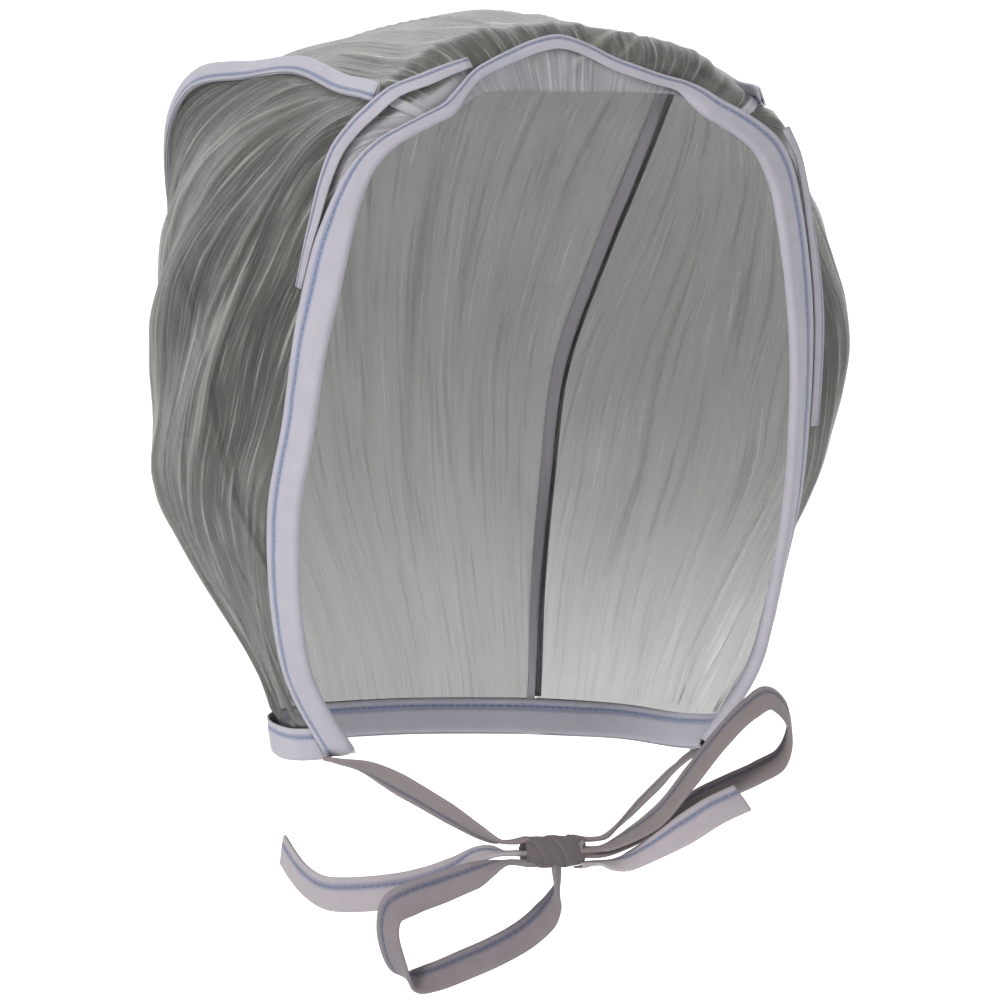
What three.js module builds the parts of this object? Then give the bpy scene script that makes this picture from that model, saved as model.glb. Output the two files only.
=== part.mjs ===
// A worn hair cap of smoky plastic film: a crown panel and two side panels, their seams and edges
// bound in folded tape, with tape ties knotted in a bow below the chin.
// Millimetres, +Z up, -Y to the wearer's face, +X to the wearer's left.
// The origin is the inside of the crown's highest point.

import * as THREE from 'three';
import { mergeVertices } from 'three/addons/utils/BufferGeometryUtils.js';

// ---- driving sizes ----

const film = {
  wall: 1.2,
  seamTrim: 1.2,     // each panel stops this far from the seam line
};

const tape = {
  width: 9,
  thick: 1.2,
  gap: 0.7,          // between the film and the tape laid on it
};

// The rounded form that the side panels are draped over, on a hub at its widest level
const form = {
  hub: new THREE.Vector3(0, 12, -98),
  halfWidth: 89,
  frontLength: 118,
  backLength: 104,
  topHeight: 98,
  topPower: 2.6,     // above 2, so that the shoulders are squarer than a ball's
  taperTop: -120,    // the form narrows to the neck between these heights
  taperEnd: -197,
  neckShare: 0.62,   // width at the neck over the greatest width
};

const folds = {
  height: 1.5,       // of the soft folds that fan from the temples
  count: 5,
  slant: 0.7,
  gatherHeight: 0.9, // of the gathers above the nape
  gatherCount: 7,
};

// The film stands away from the wearer's left cheek
const flare = {
  height: 12,
  centre: new THREE.Vector3(88, -34, -92),
  spread: 42,
};

const seamFlange = {
  height: 3.8,
  lean: 66,          // degrees from upright towards the crown
  root: 0.4,        // its root sits in the slot between the two panels
};

const colours = {
  film: 0x8a8f88,
  tape: 0xc9c8dc,
  tieTape: 0xb4b2c4,
};

// ---- lines that the panels are cut to, on the wearer's right ----

const seamLine = [
  [-42, -63, -33.2],      // on the face edge
  [-52.6, -58, -27],
  [-56, -35, -23.5],
  [-58.5, -5, -17.5],
  [-62.5, 28, -17.5],
  [-70, 54, -19],         // the puffed upper corner
  [-72, 70, -28],
  [-70, 82, -43],
  [-64, 91, -64],
  [-54, 98, -97],
  [-48, 94, -130],
  [-39, 77, -160],
  [-34, 66, -187],
  [-33, 65, -199.5],
];
const cornerShare = 0.385;  // of the seam's length, from the face edge to the upper corner

const midLine = [
  [0, -65, -23.2],
  [0, -66.8, -16.5],
  [0, -65.8, -10],
  [0, -58.5, -6.2],
  [0, -45, -4.8],
  [0, -15, -0.8],
  [0, 12, 0],
  [0, 48, -2.6],
  [0, 80, -13],
  [0, 102, -35],
  [0, 114, -70],
  [0, 115, -105],
  [0, 108, -135],
  [0, 92, -162],
  [0, 79, -186],
  [0, 77, -199.5],
];

const browLine = [
  [-42, -63, -33.2],
  [-35, -64, -29.2],
  [-28, -64.6, -24.2],
  [-20, -65, -23.4],
  [0, -65, -23.2],
];

const cheek = [
  [-42, -63, -33.2],
  [-50, -60, -38],
  [-55.5, -57, -45],
  [-58.8, -55.3, -55],
  [-62.5, -53, -74],
  [-65.7, -49, -92],
  [-67.4, -44, -113],
  [-68.7, -37, -132],
  [-66.6, -30.5, -159],
  [-62.7, -28, -177],
  [-57.4, -26, -186.5],
  [-50, -24, -196.8],
];

const napeSide = [
  [-50, -24, -196.8],
  [-56, -6, -199],
  [-56.5, 15, -200],
  [-49.5, 43, -199.5],
  [-33, 65, -199.5],
];

// ---- curves ----

const toVector = ([x, y, z]) => new THREE.Vector3(x, y, z);
const mirrored = (point) => new THREE.Vector3(-point.x, point.y, point.z);
const curveThrough = (places) => new THREE.CatmullRomCurve3(places.map(toVector), false, 'centripetal');

function mirroredCurve(places) {
  const half = places.map(toVector);
  const other = half.slice(0, -1).reverse().map(mirrored);
  return new THREE.CatmullRomCurve3([...half, ...other], false, 'centripetal');
}

const seam = curveThrough(seamLine);
const middle = curveThrough(midLine);
const browEdge = mirroredCurve(browLine);
const cheekEdge = curveThrough(cheek);
const napeEdge = curveThrough(napeSide);

// ---- the draped form ----

const clamp = (value) => Math.min(1, Math.max(0, value));
const smooth = (value) => value * value * (3 - 2 * value);
const fade = (share, reach) => (1 + Math.cos(Math.PI * clamp(share / reach))) / 2;

// Width of the form's level section at height z, over its greatest width
function levelShare(z) {
  const rise = clamp((z - form.hub.z) / form.topHeight);
  const sink = smooth(clamp((form.taperTop - z) / (form.taperTop - form.taperEnd)));
  return (1 - rise ** form.topPower) ** (1 / form.topPower) * (1 - (1 - form.neckShare) * sink);
}

function isInside(point) {
  const back = point.y - form.hub.y;
  const length = back < 0 ? form.frontLength : form.backLength;
  return Math.hypot(point.x / form.halfWidth, back / length) < levelShare(point.z);
}

// Distance from the hub to the form's surface
function formRadius(direction) {
  const point = new THREE.Vector3();
  let near = 0;
  let far = 250;
  while (far - near > 0.001) {
    const radius = (near + far) / 2;
    point.copy(direction).multiplyScalar(radius).add(form.hub);
    if (isInside(point)) near = radius;
    else far = radius;
  }
  return near;
}

// How far a boundary point stands off the form
function standOff(point) {
  const spoke = point.clone().sub(form.hub);
  return spoke.length() - formRadius(spoke.clone().normalize());
}

// Blend of four edges that meet at their corners, with fading shares for each edge
function blendEdges(edges, along, down, value, mix) {
  const [left, right] = mix(along);
  const [upper, lower] = mix(down);
  const sum = value(edges.front(down)).multiplyScalar(left);
  sum.addScaledVector(value(edges.back(down)), right);
  sum.addScaledVector(value(edges.top(along)), upper);
  sum.addScaledVector(value(edges.bottom(along)), lower);
  sum.addScaledVector(value(edges.front(0)), -left * upper);
  sum.addScaledVector(value(edges.front(1)), -left * lower);
  sum.addScaledVector(value(edges.back(0)), -right * upper);
  sum.addScaledVector(value(edges.back(1)), -right * lower);
  return sum;
}

const sideEdges = {
  front: (down) => cheekEdge.getPointAt(down),
  back: (down) => seam.getPointAt(cornerShare + (1 - cornerShare) * down),
  top: (along) => seam.getPointAt(cornerShare * along),
  bottom: (along) => napeEdge.getPointAt(along),
};

const edgeReach = 0.45;
const straight = (share) => [1 - share, share];
const fading = (share) => [fade(share, edgeReach), fade(1 - share, edgeReach)];
const wrapStandOff = (point) => new THREE.Vector3(standOff(point), 0, 0);

function softFolds(along, down) {
  const fan = Math.sin(2 * Math.PI * folds.count * (down - folds.slant * along));
  const fanShare = Math.sin(Math.PI * along) ** 2 * Math.sin(Math.PI * clamp(down * 1.4)) ** 2;
  const gather = Math.sin(2 * Math.PI * folds.gatherCount * along);
  const gatherShare = Math.sin(Math.PI * along) * Math.sin(Math.PI * clamp(2.5 * down - 1.5)) ** 2;
  return folds.height * fan * fanShare + folds.gatherHeight * gather * gatherShare;
}

// Side panel on the wearer's right: along runs from the face to the back, down from the crown to the nape
function rightSide(along, down) {
  const spoke = blendEdges(sideEdges, along, down, (point) => point.clone(), straight).sub(form.hub);
  const direction = spoke.normalize();
  const lift = blendEdges(sideEdges, along, down, wrapStandOff, fading).x;
  const radius = formRadius(direction) + lift + softFolds(along, down);
  return direction.multiplyScalar(radius).add(form.hub);
}

function leftSide(along, down) {
  const point = mirrored(rightSide(along, down));
  const away = point.distanceTo(flare.centre) / flare.spread;
  const hold = smooth(clamp(along * 4.5)) * smooth(clamp(down * 4)) * smooth(clamp((1 - along) * 4));
  const outward = point.clone().sub(form.hub).normalize();
  return point.addScaledVector(outward, flare.height * hold * Math.exp(-away * away));
}

// Crown panel: across runs from the right seam to the left one, along from the brow to the nape.
// Toward the brow it is fuller on the wearer's right.
const crownPower = 1.65;
const crownSkew = 0.28;

// The crown's section before its front is drawn to the brow's edge
function crownArc(across, along) {
  const fullness = 1 - Math.abs(2 * across - 1) ** crownPower;
  const skew = 1 + crownSkew * (1 - 2 * across) * (1 - along);
  const right = seam.getPointAt(along);
  const rise = middle.getPointAt(along).sub(right.clone().setX(0)).multiplyScalar(fullness * skew);
  return right.clone().lerp(mirrored(right), across).add(rise);
}

function crown(across, along) {
  const browShift = browEdge.getPointAt(across).sub(crownArc(across, 0)).multiplyScalar(fade(along, 0.2));
  return crownArc(across, along).add(browShift);
}

// Outward normal of a panel at a place on it
function outwardAt(panel, a, b) {
  const step = 0.004;
  const alongA = panel(Math.min(1, a + step), b).sub(panel(Math.max(0, a - step), b));
  const alongB = panel(a, Math.min(1, b + step)).sub(panel(a, Math.max(0, b - step)));
  const normal = alongA.cross(alongB).normalize();
  const spoke = panel(a, b).sub(form.hub);
  return normal.dot(spoke) < 0 ? normal.negate() : normal;
}

// ---- solids ----

function signedVolume(geometry) {
  const corner = [new THREE.Vector3(), new THREE.Vector3(), new THREE.Vector3()];
  let volume = 0;
  for (let i = 0; i < geometry.index.count; i += 3) {
    corner.forEach((point, k) => point.fromBufferAttribute(geometry.attributes.position, geometry.index.getX(i + k)));
    volume += corner[0].dot(corner[1].cross(corner[2])) / 6;
  }
  return volume;
}

function turnInsideOut(geometry) {
  const index = geometry.index;
  for (let i = 0; i < index.count; i += 3) {
    const first = index.getX(i);
    index.setX(i, index.getX(i + 1));
    index.setX(i + 1, first);
  }
}

// A box with a grid on its two broad faces, bent into shape by place(a, b, height),
// where a and b run 0 to 1 over the grid and height is 0 on the inner face and 1 on the outer
function bentSlab(columns, rows, place) {
  const box = new THREE.BoxGeometry(1, 1, 1, columns, rows, 1);
  box.deleteAttribute('uv');
  box.deleteAttribute('normal');
  const slab = mergeVertices(box);
  const spots = slab.attributes.position;
  for (let i = 0; i < spots.count; i += 1) {
    const point = place(spots.getX(i) + 0.5, spots.getY(i) + 0.5, spots.getZ(i) + 0.5);
    spots.setXYZ(i, point.x, point.y, point.z);
  }
  if (signedVolume(slab) < 0) turnInsideOut(slab);
  slab.computeVertexNormals();
  return slab;
}

const filmFinish = () => new THREE.MeshStandardMaterial({
  color: colours.film, roughness: 0.3, metalness: 0, transparent: true, opacity: 0.55, side: THREE.DoubleSide,
});
const tapeFinish = (color) => new THREE.MeshStandardMaterial({ color, roughness: 0.75, metalness: 0 });

const cap = new THREE.Group();
cap.name = 'hair_cap';

function addPiece(name, geometry, material) {
  const piece = new THREE.Mesh(geometry, material);
  piece.name = name;
  cap.add(piece);
}

// ---- film panels ----

// Share of a panel's length that a distance takes up, from the span of its first probe
const probe = 0.02;

function shareOf(distance, from, to) {
  return distance / from.distanceTo(to) * probe;
}

function addPanel(name, panel, columns, rows, trims) {
  const place = (a, b, height) => {
    const alongStart = shareOf(trims.a0, panel(0, b), panel(probe, b));
    const alongEnd = 1 - shareOf(trims.a1, panel(1, b), panel(1 - probe, b));
    const downStart = shareOf(trims.b0, panel(a, 0), panel(a, probe));
    const u = alongStart + (alongEnd - alongStart) * a;
    const v = downStart + (1 - downStart) * b;
    return panel(u, v).addScaledVector(outwardAt(panel, u, v), (height - 1) * film.wall);
  };
  addPiece(name, bentSlab(columns, rows, place), filmFinish());
}

const seamTrim = film.seamTrim;
addPanel('crown_panel', crown, 20, 36, { a0: seamTrim, a1: seamTrim, b0: 0 });
addPanel('side_panel_right', rightSide, 18, 20, { a0: 0, a1: seamTrim, b0: seamTrim });
addPanel('side_panel_left', leftSide, 18, 20, { a0: 0, a1: seamTrim, b0: seamTrim });

// ---- tapes laid on the film ----

// Stations of a laid tape: each gives the place on a panel at a distance in from the panel's
// front edge, brow or nape
const spotOn = (panel, u, v) => ({ point: panel(u, v), outward: outwardAt(panel, u, v) });

function fromCheek(panel, down) {
  const span = [panel(0, down), panel(probe, down)];
  return (distance) => spotOn(panel, shareOf(distance, ...span), down);
}

function fromBrow(across) {
  const span = [crown(across, 0), crown(across, probe)];
  return (distance) => spotOn(crown, across, shareOf(distance, ...span));
}

function fromNape(panel, across) {
  const span = [panel(across, 1), panel(across, 1 - probe)];
  return (distance) => spotOn(panel, across, 1 - shareOf(distance, ...span));
}

// Evenly spaced shares from one value to another
function spread(from, to, count) {
  return Array.from({ length: count + 1 }, (_, i) => from + (to - from) * i / count);
}

const layColumns = 3;

// near and far give the tape's two edges at each station
function addLaidTape(name, stations, near, far, finish) {
  const rows = stations.map((station, i) => {
    return spread(near(i), far(i), layColumns).map(station);
  });
  const place = (a, b, height) => {
    const column = Math.round(a * layColumns);
    const row = Math.round(b * (rows.length - 1));
    const { point, outward } = rows[row][column];
    // the neighbours' directions are mixed in, so that the tape crosses a seam without a step
    const mixed = outward.clone().multiplyScalar(2);
    mixed.add(rows[Math.max(0, row - 1)][column].outward);
    mixed.add(rows[Math.min(rows.length - 1, row + 1)][column].outward).normalize();
    return point.clone().addScaledVector(mixed, tape.gap + height * tape.thick);
  };
  addPiece(name, bentSlab(layColumns, rows.length - 1, place), finish);
}

const flush = () => 0;
const fullWidth = () => tape.width;

// The face binding narrows up the temples and rises over the brow in a low arch, off the film's
// front edge. On the wearer's right a narrow strand parts from it, and joins it again below the
// arch's peak. Distances are in from the film's front edge.
const lowCheek = 0.3;  // share down the cheek below which the binding has its full width
const rightTemple = [
  // share down the cheek, binding's width, strand's near edge, strand's width
  { down: 0.3, width: 9, strand: 9.8, strandWidth: 1.4 },
  { down: 0.24, width: 8.4, strand: 9.2, strandWidth: 1.8 },
  { down: 0.2, width: 7.2, strand: 8.4, strandWidth: 2.2 },
  { down: 0.15, width: 5.6, strand: 8, strandWidth: 2.6 },
  { down: 0.1, width: 4.2, strand: 8, strandWidth: 2.9 },
  { down: 0.06, width: 3.5, strand: 8.4, strandWidth: 3 },
  { down: 0.03, width: 3.2, strand: 9.2, strandWidth: 3.2 },
];
const browArch = [
  // share across the crown, binding's near edge, its width, strand's near edge, strand's width
  { across: 0.03, rise: 0, width: 3, strand: 10.8, strandWidth: 3.2 },
  { across: 0.09, rise: 0, width: 2.9, strand: 8.8, strandWidth: 3 },
  { across: 0.145, rise: 1.1, width: 2.8, strand: 7.4, strandWidth: 2.6 },
  { across: 0.2, rise: 3.2, width: 2.6, strand: 6.8, strandWidth: 2.2 },
  { across: 0.25, rise: 5.2, width: 2.6 },
  { across: 0.31, rise: 7.2, width: 2.8 },
  { across: 0.37, rise: 9.2, width: 2.8 },
  { across: 0.435, rise: 10.4, width: 2.8 },
  { across: 0.5, rise: 8.6, width: 2.6 },
  { across: 0.575, rise: 5.4, width: 2.6 },
  { across: 0.64, rise: 3.6, width: 2.6 },
  { across: 0.72, rise: 1.7, width: 2.6 },
  { across: 0.79, rise: 0.4, width: 2.9 },
  { across: 0.85, rise: 0, width: 3.8 },
  { across: 0.91, rise: 0, width: 5 },
  { across: 0.97, rise: 0, width: 6.2 },
];
const leftTemple = [
  { down: 0.03, width: 6.8 },
  { down: 0.07, width: 7.2 },
  { down: 0.12, width: 7.8 },
  { down: 0.18, width: 8.3 },
  { down: 0.24, width: 8.8 },
];
const cheekRows = spread(lowCheek, 1, 14).map((down) => ({ down, width: tape.width }));

const rightCheek = ({ down }) => fromCheek(rightSide, down);
const leftCheek = ({ down }) => fromCheek(leftSide, down);
const brow = ({ across }) => fromBrow(across);
const faceRows = [
  ...cheekRows.slice(1).reverse(),
  ...rightTemple,
  ...browArch,
  ...leftTemple,
  ...cheekRows,
];
const faceStations = [
  ...cheekRows.slice(1).reverse().map(rightCheek),
  ...rightTemple.map(rightCheek),
  ...browArch.map(brow),
  ...leftTemple.map(leftCheek),
  ...cheekRows.map(leftCheek),
];
const faceNear = (i) => faceRows[i].rise ?? 0;
const faceFar = (i) => faceNear(i) + faceRows[i].width;
addLaidTape('face_binding', faceStations, faceNear, faceFar, tapeFinish(colours.tape));

const napeStart = (tape.width + 0.5) / napeEdge.getLength();
const napeStations = [
  ...spread(napeStart, 0.97, 9).map((along) => fromNape(rightSide, along)),
  ...spread(0.06, 0.94, 8).map((across) => fromNape(crown, across)),
  ...spread(0.97, napeStart, 9).map((along) => fromNape(leftSide, along)),
];
addLaidTape('nape_binding', napeStations, flush, fullWidth, tapeFinish(colours.tape));

const strandTemple = rightTemple.filter((row) => row.strand);
const strandBrow = browArch.filter((row) => row.strand);
const strandRows = [...strandTemple, ...strandBrow];
const strandStations = [...strandTemple.map(rightCheek), ...strandBrow.map(brow)];
const strandNear = (i) => strandRows[i].strand;
const strandFar = (i) => strandRows[i].strand + strandRows[i].strandWidth;
addLaidTape('brow_strand_right', strandStations, strandNear, strandFar, tapeFinish(colours.tape));

const leftStrand = { near: 10.4, width: 2.4, top: 0.06, bottom: 0.5, steps: 9 };
const leftStations = spread(leftStrand.top, leftStrand.bottom, leftStrand.steps)
  .map((down) => fromCheek(leftSide, down));
const leftNear = () => leftStrand.near;
const leftFar = () => leftStrand.near + leftStrand.width;
addLaidTape('brow_strand_left', leftStations, leftNear, leftFar, tapeFinish(colours.tape));

// ---- seam bindings, standing from the ridges ----

function flangeStation(share) {
  const down = clamp((share - cornerShare) / (1 - cornerShare));
  const along = clamp(share / cornerShare);
  const besideSeam = share < cornerShare ? rightSide(along, 0.05) : rightSide(0.95, down);
  const sideOutward = share < cornerShare ? outwardAt(rightSide, along, 0.01) : outwardAt(rightSide, 0.99, down);
  const upright = sideOutward.add(outwardAt(crown, 0.01, share)).normalize();
  const course = seam.getTangentAt(share);
  const sideways = crown(0.05, share).sub(besideSeam);
  sideways.addScaledVector(course, -sideways.dot(course));
  sideways.addScaledVector(upright, -sideways.dot(upright)).normalize();
  const lean = THREE.MathUtils.degToRad(seamFlange.lean);
  const stand = upright.clone().multiplyScalar(Math.cos(lean)).addScaledVector(sideways, Math.sin(lean));
  const root = seam.getPointAt(share).addScaledVector(upright, seamFlange.root);
  return { root, stand, flat: stand.clone().cross(course).normalize() };
}

function addSeamBinding(name, turn) {
  const seamLength = seam.getLength();
  const start = (strandBrow[0].strand + strandBrow[0].strandWidth + 1.2) / seamLength;
  const end = 1 - (tape.width + 0.5) / seamLength;
  const stations = spread(start, end, 44).map(flangeStation);
  const place = (a, b, height) => {
    const { root, stand, flat } = stations[Math.round(b * (stations.length - 1))];
    const point = root.clone().addScaledVector(stand, a * seamFlange.height);
    return turn(point.addScaledVector(flat, (height - 0.5) * tape.thick));
  };
  addPiece(name, bentSlab(1, stations.length - 1, place), tapeFinish(colours.tape));
}

addSeamBinding('seam_binding_right', (point) => point);
addSeamBinding('seam_binding_left', mirrored);

// ---- ties and bow ----

const knot = {
  centre: new THREE.Vector3(-0.5, -44, -223),
  halfLength: 8,
  radius: 4.4,
  endRadius: 3.6,
};
const knotGap = 0.4;

// The last two rows of a tie that runs square into the knot's end on one side (-1 right, 1 left)
function intoKnot(side, y, z, width) {
  const end = knot.centre.x + side * (knot.halfLength + knotGap);
  return [
    [end + side * 5, y, z, width + 0.5, 0, 1, 0],
    [end, y, z, width, 0, 1, 0],
  ];
}

// Each row of a tie: x, y, z of its middle, its width, and the direction that the width runs in
function freeTape(rows) {
  const course = curveThrough(rows.map((row) => row.slice(0, 3)));
  const rowAt = (share) => {
    const place = course.getUtoTmapping(share) * (rows.length - 1);
    const first = Math.min(Math.floor(place), rows.length - 2);
    return rows[first].map((value, k) => value + (rows[first + 1][k] - value) * (place - first));
  };
  return (share) => {
    const row = rowAt(share);
    const tangent = course.getTangentAt(share);
    const across = toVector(row.slice(4, 7));
    across.addScaledVector(tangent, -across.dot(tangent)).normalize();
    return { middle: course.getPointAt(share), across, width: row[3], flat: across.clone().cross(tangent) };
  };
}

function addFreeTape(name, rows, steps, turn = (point) => point) {
  const stationAt = freeTape(rows);
  const stations = spread(0, 1, steps).map(stationAt);
  const place = (a, b, height) => {
    const { middle, across, width, flat } = stations[Math.round(b * steps)];
    const point = middle.clone().addScaledVector(across, (a - 0.5) * width);
    return turn(point.addScaledVector(flat, (height - 0.5) * tape.thick));
  };
  addPiece(name, bentSlab(1, steps, place), tapeFinish(colours.tieTape));
}

const tieStart = [
  [-51, -18, -200.1, 9, -0.12, 0.99, 0],
  [-44.4, -23.4, -202, 9, -0.15, 0.95, -0.2],
  [-37.2, -28, -206, 8.5, -0.2, 0.87, -0.44],
  [-26, -34.5, -213.2, 7.5, -0.2, 0.87, -0.44],
];
addFreeTape('tie_right', [
  ...tieStart,
  [-18.5, -39.3, -218.2, 6, -0.1, 0.9, -0.3],
  ...intoKnot(-1, -43, -220.2, 4),
], 20);
addFreeTape('tie_left', [
  ...tieStart.map(([x, ...rest]) => [-x, ...rest.slice(0, 3), -rest[3], ...rest.slice(4)]),
  [18, -39, -218.4, 6, 0.1, 0.9, -0.3],
  ...intoKnot(1, -42.5, -220.2, 4),
], 20);

addFreeTape('bow_loop_left', [
  ...intoKnot(1, -45.3, -222.4, 4).reverse(),
  [19.2, -49, -219, 6.5, 0.2, 0.85, 0.4],
  [26.5, -51, -213.9, 8.5, 0.25, 0.8, 0.55],
  [35, -53, -203.4, 9, 0.25, 0.8, 0.55],
  [43, -54, -193.5, 9, 0.25, 0.8, 0.55],
  [50.6, -55, -186, 9, 0.25, 0.8, 0.55],
  [56.2, -55, -183.2, 9, 0.25, 0.8, 0.55],
  [61.2, -54, -186.8, 9, 0.25, 0.8, 0.55],
  [62.8, -53, -193.1, 9, 0.25, 0.8, 0.55],
  [60.6, -52, -199.4, 9, 0.25, 0.8, 0.55],
  [54.7, -51, -203, 9, 0.25, 0.8, 0.55],
  [47.1, -49.5, -206.4, 9, 0.25, 0.8, 0.55],
  [38.9, -48, -210, 8.5, 0.25, 0.8, 0.5],
  [29.6, -46.5, -215.8, 7, 0.2, 0.85, 0.4],
  [20.5, -44.8, -221.4, 5.5, 0.1, 0.95, 0.2],
  ...intoKnot(1, -44, -224.4, 4),
], 100);
addFreeTape('tie_tail_left', [
  ...intoKnot(1, -45, -226.4, 4).reverse(),
  [17.6, -49, -226, 5.5, -0.1, 0.85, 0.4],
  [24, -55.4, -221.6, 6.5, -0.2, 0.7, 0.6],
  [31, -60, -216.4, 9, -0.25, 0.75, 0.6],
  [38, -61.4, -212, 9, -0.25, 0.75, 0.6],
  [46, -61.8, -208.6, 9, -0.25, 0.75, 0.6],
], 16);

const loopDrop = [1, -44, knot.centre.z - knot.radius - knotGap];
addFreeTape('bow_loop_right', [
  // hangs down in front of the neck
  [...loopDrop, 4.5, 0.5, 0.8, 0],
  [1.4, -43, -231.5, 6, 0.4, 0.85, 0],
  [1.1, -41.5, -235.5, 8, 0, 0.8, 0.4],
  [-1.3, -40, -240.3, 9, -0.2, 0.7, 0.68],
  [-6, -38, -245, 9, -0.2, 0.7, 0.68],
  [-13.2, -36, -249.3, 9, -0.2, 0.7, 0.68],
  [-21.7, -33.5, -253.2, 9, -0.2, 0.7, 0.68],
  [-29.4, -31.5, -256.3, 9, -0.2, 0.7, 0.6],
  [-34.6, -30.5, -257.3, 9, -0.2, 0.8, 0.5],
  [-38, -30, -254.8, 9, -0.3, 0.9, 0.2],
  [-40.4, -29.5, -249.5, 9, -0.3, 0.95, 0],
  [-41.5, -29.5, -243.6, 9, -0.3, 0.95, 0.1],
  [-40.7, -31, -238.2, 9, -0.3, 0.8, 0.5],
  [-36.4, -34, -235, 8.5, -0.1, 0.3, 0.95],
  [-29.4, -37.8, -232, 8, 0, 0.2, 0.98],
  [-22, -42.6, -228.6, 7, 0, 0.3, 0.95],
  ...intoKnot(-1, -44.8, -225.4, 3.2),
], 104);
addFreeTape('tie_tail_right', [
  ...intoKnot(-1, -42.5, -223.2, 4).reverse(),
  [-18.5, -36, -224, 5, 0.3, 0.6, 0.7],
  [-23.5, -28, -229.6, 8, 0, 0.2, 1],
  [-30, -19.5, -233.6, 9, 0, 0, 1],
  [-36.6, -13, -235.4, 9, 0, 0, 1],
  [-43.4, -3.5, -236.8, 9, 0, 0, 1],
  [-47.6, 7, -237.1, 9, 0, -0.3, 0.95],
  [-50.2, 16.5, -234.6, 9, 0, -0.55, 0.83],
  [-51.5, 24, -231, 9, 0, -0.5, 0.86],
  [-51.9, 31, -227.7, 9, 0, -0.5, 0.86],
], 32);

function knotGeometry() {
  const { halfLength, radius, endRadius } = knot;
  const profile = [
    [0, -halfLength],
    [endRadius, -halfLength],
    [radius, -halfLength * 0.72],
    [radius, -halfLength * 0.3],
    [radius * 0.86, 0],
    [radius, halfLength * 0.3],
    [radius * 0.94, halfLength * 0.75],
    [endRadius, halfLength],
    [0, halfLength],
  ].map(([x, y]) => new THREE.Vector2(x, y));
  const barrel = new THREE.LatheGeometry(profile, 16);
  barrel.rotateZ(-Math.PI / 2);
  return barrel;
}

addPiece('bow_knot', knotGeometry(), tapeFinish(colours.tieTape));
cap.children.at(-1).position.copy(knot.centre);

export default cap;
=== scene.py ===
# A worn hair cap of smoky clear film, bound in folded tape and tied in a bow below the chin.
# Metres, +Z up, -Y the way the wearer faces, +X to the wearer's left.
import itertools
import math

import bmesh
import bpy
import numpy as np
from mathutils import Matrix, Vector, noise


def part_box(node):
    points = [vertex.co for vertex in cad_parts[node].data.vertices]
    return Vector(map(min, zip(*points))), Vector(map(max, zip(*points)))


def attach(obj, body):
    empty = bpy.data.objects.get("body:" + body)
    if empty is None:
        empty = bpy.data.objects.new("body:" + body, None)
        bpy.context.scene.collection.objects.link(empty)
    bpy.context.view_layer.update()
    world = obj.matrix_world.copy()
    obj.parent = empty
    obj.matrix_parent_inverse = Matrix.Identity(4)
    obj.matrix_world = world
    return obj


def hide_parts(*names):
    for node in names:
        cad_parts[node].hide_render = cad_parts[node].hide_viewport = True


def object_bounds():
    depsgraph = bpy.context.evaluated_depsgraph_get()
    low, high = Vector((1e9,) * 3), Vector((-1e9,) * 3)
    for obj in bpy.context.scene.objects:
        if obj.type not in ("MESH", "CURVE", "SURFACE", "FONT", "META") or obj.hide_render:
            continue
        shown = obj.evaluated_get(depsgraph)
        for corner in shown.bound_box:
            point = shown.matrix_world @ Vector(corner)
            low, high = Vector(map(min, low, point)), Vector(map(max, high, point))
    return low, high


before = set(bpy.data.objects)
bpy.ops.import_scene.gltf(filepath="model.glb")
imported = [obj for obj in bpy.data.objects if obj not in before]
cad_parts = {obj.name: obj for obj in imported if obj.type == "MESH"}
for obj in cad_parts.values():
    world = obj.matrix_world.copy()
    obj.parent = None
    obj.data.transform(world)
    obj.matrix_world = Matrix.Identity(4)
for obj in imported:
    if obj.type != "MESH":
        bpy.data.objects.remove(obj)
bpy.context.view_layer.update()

mm = 0.001


# Sheets read from the frame's slabs

def broadFaces(work):
    # A slab's faces in patches that no sharp edge crosses, the two largest first
    sharpAngle = math.radians(60)
    seen = set()
    patches = []
    for first in work.faces:
        if first in seen:
            continue
        seen.add(first)
        patch, waiting = [], [first]
        while waiting:
            face = waiting.pop()
            patch.append(face)
            for edge in face.edges:
                if len(edge.link_faces) == 2 and edge.calc_face_angle() < sharpAngle:
                    for other in edge.link_faces:
                        if other not in seen:
                            seen.add(other)
                            waiting.append(other)
        patches.append(patch)
    patches.sort(key=lambda patch: -sum(face.calc_area() for face in patch))
    return patches[:2]


def walkGrid(patch, start, toward):
    # Rows of vertices, from the corner nearest start to the next corner nearest toward
    inside = set(patch)
    near, rim = {}, {}
    for face in patch:
        for edge in face.edges:
            a, b = edge.verts
            near.setdefault(a, set()).add(b)
            near.setdefault(b, set()).add(a)
            if sum(f in inside for f in edge.link_faces) == 1:
                rim.setdefault(a, set()).add(b)
                rim.setdefault(b, set()).add(a)
    corners = [vert for vert in rim if len(near[vert]) < 4]
    first = min(corners, key=lambda vert: (vert.co - start).length)

    def side(corner, step):
        run = [corner, step]
        while run[-1] not in corners:
            run.append(next(vert for vert in rim[run[-1]] if vert is not run[-2]))
        return run

    sides = [side(first, step) for step in rim[first]]
    sides.sort(key=lambda run: (run[-1].co - toward).length)
    rows, used = [sides[0]], set(sides[0])
    for lead in sides[1][1:]:
        row = [lead]
        used.add(lead)
        for above in rows[-1][1:]:
            following = next(vert for vert in near[above] & near[row[-1]] if vert not in used)
            row.append(following)
            used.add(following)
        rows.append(row)
    return rows


def slabOf(node):
    work = bmesh.new()
    work.from_mesh(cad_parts[node].data)
    bmesh.ops.remove_doubles(work, verts=work.verts, dist=1e-6)
    work.normal_update()
    return work


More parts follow.
